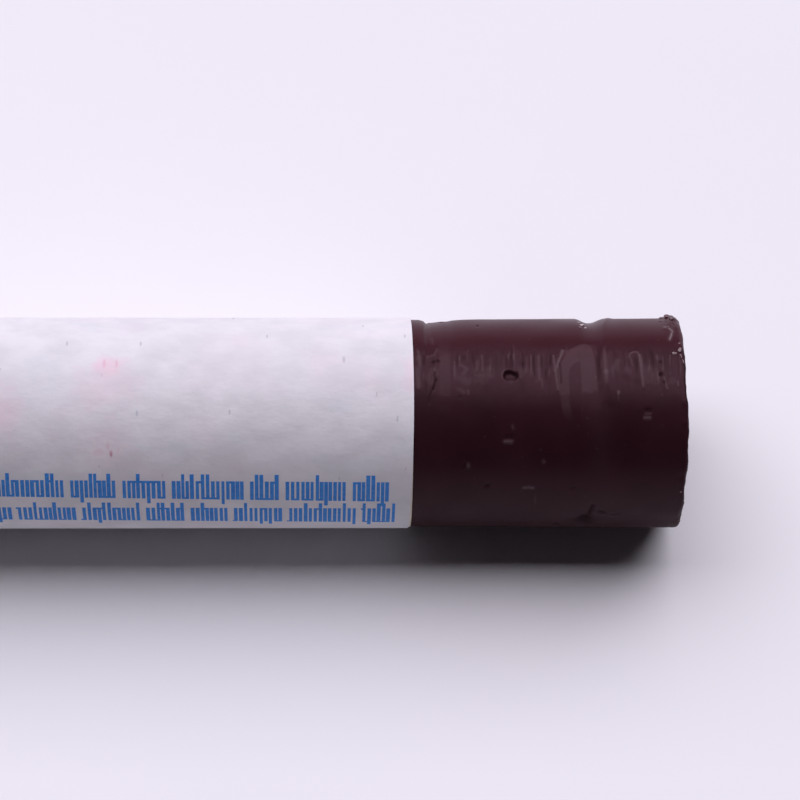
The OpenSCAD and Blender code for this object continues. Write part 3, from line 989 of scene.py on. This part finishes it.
def baseRings(rim):  # under the label, the bare base, its moulded edge and its flat face
    form = waxForm
    zero, edge, sunk = rim.s, form["baseCorner"], bar["radius"] - form["edgeSink"]
    looks = (zero, zero, tableAt("skinRough", rim.turned(120) + 120))
    hidden = (bar["labelTipX"] - 1.5, bar["labelBaseX"] + 1.5, bar["labelBaseX"] + form["underLabel"])
    rings = [(zero + x, zero + bar["radius"], looks) for x in hidden]
    for step in np.linspace(0.06, bar["bareBase"] - edge, 5):
        wobble = form["edgeSink"] * ringNoise(zero + step, rim.angle, 0.3, 24, form["seed"] + 14)
        rings.append((zero + bar["labelBaseX"] - step, sunk + wobble, looks))
    for bend in np.linspace(0, math.pi / 2, 8)[1:]:
        x = bar["baseX"] + edge * (1 - math.sin(bend))
        rings.append((zero + x, zero + sunk - edge * (1 - math.cos(bend)), looks))
    for share in form["baseShares"]:
        r = (bar["radius"] - edge) * share
        y, z = r * np.cos(rim.radians), r * np.sin(rim.radians)
        rough = form["baseRough"] * ringNoise(y, z * 20, 0.9, 40, form["seed"] + 15) * share
        rings.append((bar["baseX"] + form["baseSink"] + rough, zero + r, looks))
    return rings


def buildWaxBar():
    form = waxForm
    angles = np.concatenate([np.arange(*span) for span in form["columnSpans"]])
    rim = SidePlaces(np.zeros(len(angles)), angles)
    stray = rimStray(rim)
    side = sideRings(rim, stray)
    rings = tipRings(rim, stray, side[0][1]) + side + baseRings(rim)
    # painted sheen, round the upper back of the bar
    paintedTopSheen = fall(*form["paintedTopSheen"]["ends"], np.abs(rim.turned(form["paintedTopSheen"]["angle"])))

    # each end is closed by one point in the middle
    points = [[[bar["tipX"] - form["dishDepth"] - form["faceSink"], 0.0, axisZ]]]
    looks = [[form["tipLooks"]]]
    for x, r, look in rings:
        points.append(np.stack([x, r * np.cos(rim.radians), axisZ + r * np.sin(rim.radians)], 1))
        looks.append(np.stack([*look, paintedTopSheen], 1))
    points.append([[bar["baseX"] + form["baseSink"], 0.0, axisZ]])
    looks.append([form["baseLooks"]])
    looks = np.concatenate(looks)

    columns, last = len(angles), len(looks) - 1
    faces = ringFaces(columns, len(rings))
    faces += [(last - columns + k, last, last - columns + (k + 1) % columns) for k in range(columns)]

    mesh = bpy.data.meshes.new("waxBar")
    mesh.from_pydata((np.concatenate(points) * mm).tolist(), [], faces)
    for place, name in enumerate(("wearAndPaintedLight", "scraped", "dull", "paintedTopSheen")):
        attribute = mesh.attributes.new(name, "FLOAT", "POINT")
        attribute.data.foreach_set("value", looks[:, place].astype(np.float32))
    mesh.shade_smooth()
    mesh.update()
    return mesh


waxBar = addPiece("waxBar", buildWaxBar(), waxFinish)
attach(waxBar, root)
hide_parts("wax_stick")
print("wax bar:", len(waxBar.data.polygons), "faces")


# paper label

labelForm = {
    "lapStart": -63.75,      # where the sheet's first edge lies, out of sight at the back
    "lapSweep": 37.5,
    "layer": 0.11,           # paper and film together
    "thickness": 0.072,
    "waver": 0.035,          # how far the scissors strayed
    "lean": 0.08,            # the cut isn't quite square to the bar
    "leanAngle": 30,
    "bow": 0.045,            # nor quite straight
    "bowAngle": 124, "roundSteps": 300, "alongSteps": 70, "sharpAngle": 40, "seed": 5,
}


def here(bench):  # where a point of the mesh is, in a geometry tree
    return bench.add("GeometryNodeInputPosition").outputs[0]


def moveTo(bench, geometry, x, y, z):
    spot = bench.joined(x, y, z)
    return bench.add("GeometryNodeSetPosition", {"Geometry": geometry, "Position": spot}).outputs[0]


def realize(bench, geometry):
    return bench.add("GeometryNodeRealizeInstances", {0: geometry}).outputs[0]


def dress(bench, out, geometry, material):
    dressed = bench.add("GeometryNodeSetMaterial", {"Geometry": geometry, "Material": material})
    bench.put(out, dressed.outputs[0])


def makeWrapTree(values):
    tree, bench, given, out = newGroup("wrapSheet", "GeometryNodeTree", values, "Geometry", "Geometry")
    grid = bench.add("GeometryNodeMeshGrid", {
        "Size X": 1.0, "Size Y": 1.0, "Vertices X": given["Along steps"], "Vertices Y": given["Round steps"]})
    flatX, flatY, _ = bench.parts(here(bench))
    left = bench.minus(0.5, flatX)
    along = bench.minus(1.0, bench.times(left, left))  # finer steps towards the tip
    travel = bench.times(bench.plus(flatY, 0.5), bench.plus(given["Lap angle"], 2 * math.pi))
    angle = bench.plus(given["Start angle"], travel)
    # the sheet runs straight from its first turn up on to its own first edge
    climb = bench.math("ARCCOSINE", bench.math("DIVIDE", given["Low radius"], given["High radius"]))
    climbed = bench.minus(travel, bench.minus(2 * math.pi, climb))
    climbed = bench.math("MINIMUM", bench.math("MAXIMUM", climbed, 0.0), climb)
    radius = bench.math("DIVIDE", given["Low radius"], bench.math("COSINE", climbed))
    # the cut end next to the bare wax wavers, leans and bows a little
    ring = bench.joined(bench.math("COSINE", angle), bench.math("SINE", angle), given["Seed"])
    stray = bench.times(bench.minus(bench.noise(ring, 2.2, 5.0)["Fac"], 0.5), given["Waver"])
    leaning = bench.times(bench.math("COSINE", bench.minus(angle, given["Lean angle"])), given["Lean"])
    bowing = bench.math("COSINE", bench.times(bench.minus(angle, given["Bow angle"]), 2.0))
    bowing = bench.times(bench.minus(bowing, 0.45), given["Bow"])
    tipCut = bench.plus(bench.plus(bench.plus(given["Tip end"], stray), leaning), bowing)
    x = bench.plus(bench.times(along, tipCut), bench.times(bench.minus(1.0, along), given["Base end"]))
    y = bench.times(radius, bench.math("COSINE", angle))
    z = bench.plus(given["Axis height"], bench.times(radius, bench.math("SINE", angle)))
    wrapped = moveTo(bench, grid.outputs["Mesh"], x, y, z)
    # the cut edge is painted paler: the paper's paler core, and a painted highlight where the edge catches
    # light
    edge = bench.span(bench.minus(tipCut, x), 0.0, 0.0004, 0.30, 0.0)
    marked = bench.add("GeometryNodeStoreNamedAttribute", {
        "Geometry": wrapped, "Name": "paleCutAndHighlight", "Value": edge})
    dress(bench, out, realize(bench, marked.outputs[0]), given["Paper"])
    return tree


def buildLabel():
    form = labelForm
    sheet = growFrom("labelSheet", bpy.data.meshes.new("labelSheetMaker"), makeWrapTree, {
        "Low radius": bar["paperIn"] * mm, "High radius": (bar["paperIn"] + form["layer"]) * mm,
        "Start angle": math.radians(form["lapStart"]), "Lap angle": math.radians(form["lapSweep"]),
        "Tip end": bar["labelTipX"] * mm, "Base end": bar["labelBaseX"] * mm, "Axis height": axisZ * mm,
        "Waver": form["waver"] * mm, "Lean": form["lean"] * mm, "Lean angle": math.radians(form["leanAngle"]),
        "Bow": form["bow"] * mm, "Bow angle": math.radians(form["bowAngle"]), "Seed": float(form["seed"]),
        "Round steps": form["roundSteps"], "Along steps": form["alongSteps"], "Paper": paperFinish})
    outward = sum(1 if p.normal.y * p.center.y + p.normal.z * (p.center.z - axisZ * mm) > 0 else -1
                  for p in sheet.polygons)
    if outward < 0:
        sheet.flip_normals()
    maker = makerFor("labelSheet", sheet)
    wall = maker.modifiers.new("paperThickness", "SOLIDIFY")
    wall.thickness = form["thickness"] * mm
    wall.offset = 1
    wall.use_even_offset = True
    solid = plainMesh(maker, "labelSheet")
    solid.shade_smooth()
    solid.set_sharp_from_angle(angle=math.radians(form["sharpAngle"]))
    return solid


labelSheet = addPiece("labelSheet", buildLabel(), paperFinish)
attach(labelSheet, root)
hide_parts("paper_label")
print("label:", len(labelSheet.data.polygons), "faces")


# things laid on the bar's side: drawn flat as (x, arc length, height), then wrapped round the axis

def wrapRound(bench, geometry, given):
    x, y, z = bench.parts(here(bench))
    turn = bench.math("DIVIDE", y, given["Radius"])
    reach = bench.plus(given["Radius"], z)
    across = bench.times(reach, bench.math("COSINE", turn))
    up = bench.plus(given["Axis height"], bench.times(reach, bench.math("SINE", turn)))
    moved = moveTo(bench, geometry, x, across, up)
    # the wrap turns the pieces inside out
    return bench.add("GeometryNodeFlipFaces", {0: moved}).outputs[0]


def named(bench, name, kind="FLOAT"):
    node = bench.add("GeometryNodeInputNamedAttribute", {"Name": name}, data_type=kind)
    return node.outputs["Attribute"]


def scatter(bench, spots, **inputs):  # one instance on each spot
    placed = bench.add("GeometryNodeInstanceOnPoints", {"Points": spots, **inputs})
    return realize(bench, placed.outputs[0])


def spotMesh(name, points, fields):  # a mesh of loose points that carries values for a node tree
    mesh = bpy.data.meshes.new(name)
    mesh.from_pydata(points, [], [])
    for field, (kind, values) in fields.items():
        attribute = mesh.attributes.new(field, kind, "POINT")
        flat = np.asarray(values, dtype=np.float32).ravel()
        attribute.data.foreach_set("vector" if kind == "FLOAT_VECTOR" else "value", flat)
    return mesh


def newSpotTree(name, values):  # a geometry tree that is given a mesh of spots too
    return newGroup(name, "GeometryNodeTree", {"Spots": "Geometry", **values}, "Geometry", "Geometry")


def makeStrokeTree(values):
    tree, bench, given, out = newSpotTree("printStrokes", values)
    block = bench.add("GeometryNodeMeshCube", {
        "Size": (1, 1, 1), "Vertices X": 2, "Vertices Y": 7, "Vertices Z": 2})
    size = bench.joined(named(bench, "wide"), named(bench, "tall"), given["Rise"])
    strokes = scatter(bench, given["Spots"], Instance=block.outputs["Mesh"], Scale=size)
    dress(bench, out, wrapRound(bench, strokes, given), given["Ink"])
    return tree


# two rows of plain strokes, some joined by short bars, stand for the label's print; they aren't letters
printForm = {
    "radius": 6.104, "rise": 0.005, "pitch": 0.268, "pitchSpread": (0.9, 1.15),
    "wideSpread": (0.85, 1.15),
    "groups": (5, 17),   # how many strokes stand together, from the first number to just below the second
    "tallShare": 0.24, "tailFrom": 0.93,
    "joined": 0.40,      # how many neighbours a short bar joins
    "joinHigh": 0.15,
    "joinInset": 0.7,    # how much of a stroke's width the bar leaves out
    "joinSink": 0.0008, "gap": 0.30,
    "start": 1.5,        # from the label's base end
    "seed": 21,
}

# the angles of each row at its end next to the bare wax, and how many degrees they rise for each
# millimetre along the bar, since the label was stuck on a little askew
printRows = [
    {"foot": 167.0, "footLean": 0.19, "top": 153.4, "topLean": 0.08, "tall": 4.2, "tail": 3.8,
     "stroke": 0.200, "endGap": 1.35},
    {"foot": 188.7, "footLean": 0.20, "top": 172.9, "topLean": 0.06, "tall": 4.3, "tail": 4.0,
     "stroke": 0.200, "endGap": 0.95},
]


def layPrint():
    form = printForm
    draw = np.random.default_rng(form["seed"])
    arc = math.radians(form["radius"])
    stop = bar["labelBaseX"] + form["start"]
    points, wide, tall = [], [], []
    for row in printRows:
        end = bar["labelTipX"] - row["endGap"] - row["stroke"] / 2
        x = end
        while x > stop:
            for _ in range(int(draw.integers(*form["groups"]))):
                if x < stop:
                    break
                kind = draw.uniform()
                low = row["top"] + (x - end) * row["topLean"]
                base = row["foot"] + (x - end) * row["footLean"]
                top = low - (row["tall"] if kind < form["tallShare"] else 0)
                foot = base + (row["tail"] if kind > form["tailFrom"] else 0)
                points.append((x * mm, (top + foot) / 2 * arc * mm, 0.0))
                wide.append(row["stroke"] * draw.uniform(*form["wideSpread"]) * mm)
                tall.append((foot - top) * arc * mm)
                step = form["pitch"] * draw.uniform(*form["pitchSpread"])
                if draw.uniform() < form["joined"] and x - step > stop:
                    inset = form["joinHigh"] / 2 / arc
                    at = draw.choice([low + inset, base - inset])
                    points.append(((x - step / 2) * mm, at * arc * mm, -form["joinSink"] * mm))
                    wide.append((step - row["stroke"] * form["joinInset"]) * mm)
                    tall.append(form["joinHigh"] * mm)
                x -= step
            x -= form["gap"]
    return spotMesh("printSpots", points, {"wide": ("FLOAT", wide), "tall": ("FLOAT", tall)})


def buildPrint():
    return growFrom("printRows", layPrint(), makeStrokeTree, {
        "Radius": printForm["radius"] * mm, "Rise": printForm["rise"] * mm, "Axis height": axisZ * mm,
        "Ink": inkFinish})


printRowsPiece = addPiece("printRows", buildPrint(), inkFinish)
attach(printRowsPiece, root)
print("print:", len(printRowsPiece.data.polygons), "faces")


# crumbs and flakes of wax on the rim and in the groove:
# s, angle, length along the bar, length round it, height, turn, how chalky
waxCrumbs = [
    (0.82, 56.8, 0.22, 0.1, 0.06, 20, 0.08), (0.63, 62, 0.1, 0.26, 0.06, -4, 0.04),
    (0.66, 79.8, 0.27, 0.22, 0.12, 10, 0.14), (0.34, 77.4, 0.21, 0.34, 0.12, 10, 0.18),
    (0.32, 72, 0.13, 0.14, 0.09, 0, 0.02), (0.28, 81.6, 0.1, 0.32, 0.08, -12, 0.08),
    (0.18, 85.2, 0.08, 0.34, 0.07, -20, 0.04),
    (5.88, 46.5, 0.16, 0.26, 0.09, 20, 0.25), (5.72, 50.2, 0.24, 0.26, 0.11, 60, 0.75),
    (5.52, 53.6, 0.14, 0.18, 0.08, 20, 0.55), (5.84, 55.2, 0.12, 0.14, 0.07, 0, 0.1),
    (0.7, 40, 0.34, 0.3, 0.09, 25, 0), (0.98, 37, 0.24, 0.26, 0.07, 80, 0),
    (0.45, 44.5, 0.28, 0.3, 0.08, 60, 0.02), (1.12, 45.5, 0.18, 0.14, 0.05, 10, 0),
    (0.6, 31, 0.28, 0.3, 0.14, 40, 0), (0.85, 25, 0.2, 0.26, 0.11, 75, 0),
    (0.3, 160, 0.12, 0.1, 0.05, 45, 0), (0.16, 187, 0.12, 0.12, 0.03, 30, 0),
    (0.5, 300, 0.22, 0.18, 0.09, 60, 0.05), (0.4, 342, 0.2, 0.3, 0.1, 15, 0),
    (3.4, 353, 0.14, 0.12, 0.05, 15, 0.2),
]
crumbForm = {
    "radius": 6.02, "rough": 0.26, "roughScale": 5200.0, "subdivisions": 3,
    "shift": 0.06,       # how far a crumb's middle keeps inside its place on the rim
    "liftShare": 0.12,   # how much of its height it is raised
    "seed": 3.0,
}


def makeCrumbTree(values):
    tree, bench, given, out = newSpotTree("waxCrumbs", values)
    ball = bench.add("GeometryNodeMeshIcoSphere", {"Radius": 0.5, "Subdivisions": crumbForm["subdivisions"]})
    swing = bench.joined(0.0, 0.0, named(bench, "turn"))
    crumbs = scatter(bench, given["Spots"], Instance=ball.outputs["Mesh"], Rotation=swing,
                     Scale=named(bench, "size", "FLOAT_VECTOR"))
    seeded = {"W": given["Seed"]}
    noise = bench.noise(here(bench), crumbForm["roughScale"], 2.0, seeded, noise_dimensions="4D")
    centred = bench.vector("SUBTRACT", noise["Color"], (0.5, 0.5, 0.5))
    shove = bench.add("ShaderNodeVectorMath", {0: centred, "Scale": given["Roughness"]}, operation="SCALE")
    rough = bench.add("GeometryNodeSetPosition", {"Geometry": crumbs, "Offset": shove.outputs[0]})
    dress(bench, out, wrapRound(bench, rough.outputs[0], given), given["Wax"])
    return tree


def buildCrumbs():
    form = crumbForm
    arc = math.radians(form["radius"])
    points, sizes, turns, chalky = [], [], [], []
    for s, angle, along, across, high, turn, chalk in waxCrumbs:
        lift = float(waxSurface(np.array([[s]]), np.array([[float(angle)]]))[0][0, 0])
        lift += bar["radius"] + waxForm["draft"] * (1 - s / bar["bareTip"]) - form["radius"]
        x = bar["tipX"] - s - form["shift"]
        points.append((x * mm, angle * arc * mm, (lift + high * form["liftShare"]) * mm))
        sizes.append((along * mm, across * mm, high * mm))
        turns.append(math.radians(turn))
        chalky.append(chalk)
    spots = spotMesh("crumbSpots", points, {
        "size": ("FLOAT_VECTOR", sizes), "turn": ("FLOAT", turns), "chalky": ("FLOAT", chalky)})
    grown = growFrom("waxCrumbs", spots, makeCrumbTree, {
        "Radius": form["radius"] * mm, "Roughness": form["rough"] * mm, "Axis height": axisZ * mm,
        "Seed": form["seed"], "Wax": crumbFinish})
    grown.shade_smooth()
    return grown


crumbs = addPiece("waxCrumbs", buildCrumbs(), crumbFinish)
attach(crumbs, root)
print("crumbs:", len(crumbs.data.polygons), "faces")

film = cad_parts["label_adhesive"]
film.data.materials.clear()
film.data.materials.append(filmFinish)
